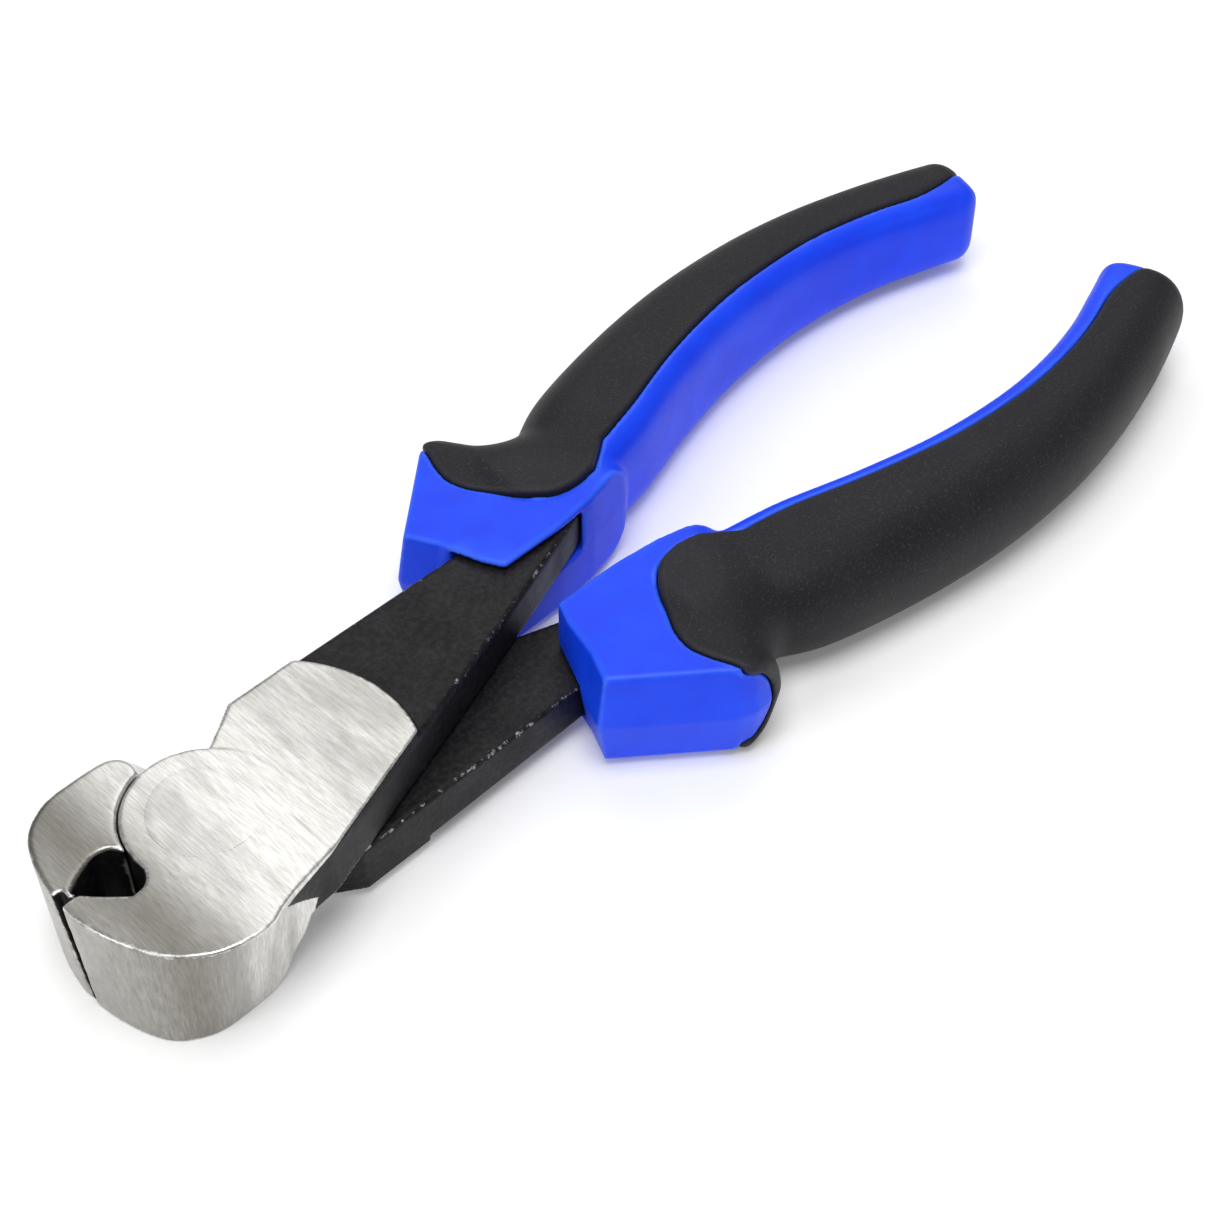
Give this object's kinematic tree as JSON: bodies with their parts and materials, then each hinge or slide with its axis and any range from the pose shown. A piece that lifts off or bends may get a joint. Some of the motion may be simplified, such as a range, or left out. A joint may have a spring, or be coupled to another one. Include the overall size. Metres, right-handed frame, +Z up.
{
  "type": "end cutting nippers",
  "caption": "Lap-jointed end cutting nippers with curved jaws, a hollow behind the cutting edges and bowed two-material grips.",
  "frame": {"origin": "on the rivet's axis, at the rivet's lower face, which is ground flush with the head and lies in the plane the tool rests on", "axes": "+X from the rivet towards the handle ends, so the cutting edge faces -X; +Z up out of the resting plane, along the rivet; the upper lever's grip is on +Y and its jaw on -Y"},
  "size_m": [0.161, 0.0596, 0.0154],
  "materials": {
    "forged_steel": "ground satin on the head and jaws, rough black oxide on the arms",
    "rivet_steel": "ground flush with the head in a satin finish",
    "grip_plastic": "bright blue moulded polypropylene, smooth with a soft sheen",
    "grip_rubber": "charcoal black soft overmould with a fine matt texture"
  },
  "bodies": {
    "upper_half": {"upper_lever": "forged_steel", "upper_grip_core": "grip_plastic", "upper_grip_cover": "grip_rubber", "pivot_rivet": "rivet_steel"},
    "lower_half": {"lower_lever": "forged_steel", "lower_grip_core": "grip_plastic", "lower_grip_cover": "grip_rubber"}
  },
  "joints": [
    {"name": "jaw_pivot", "type": "hinge", "parent": "upper_half", "child": "lower_half", "pos_m": [0, 0, 0.0077], "axis": [0, 0, -1], "range_deg": [0, 32]}
  ]
}
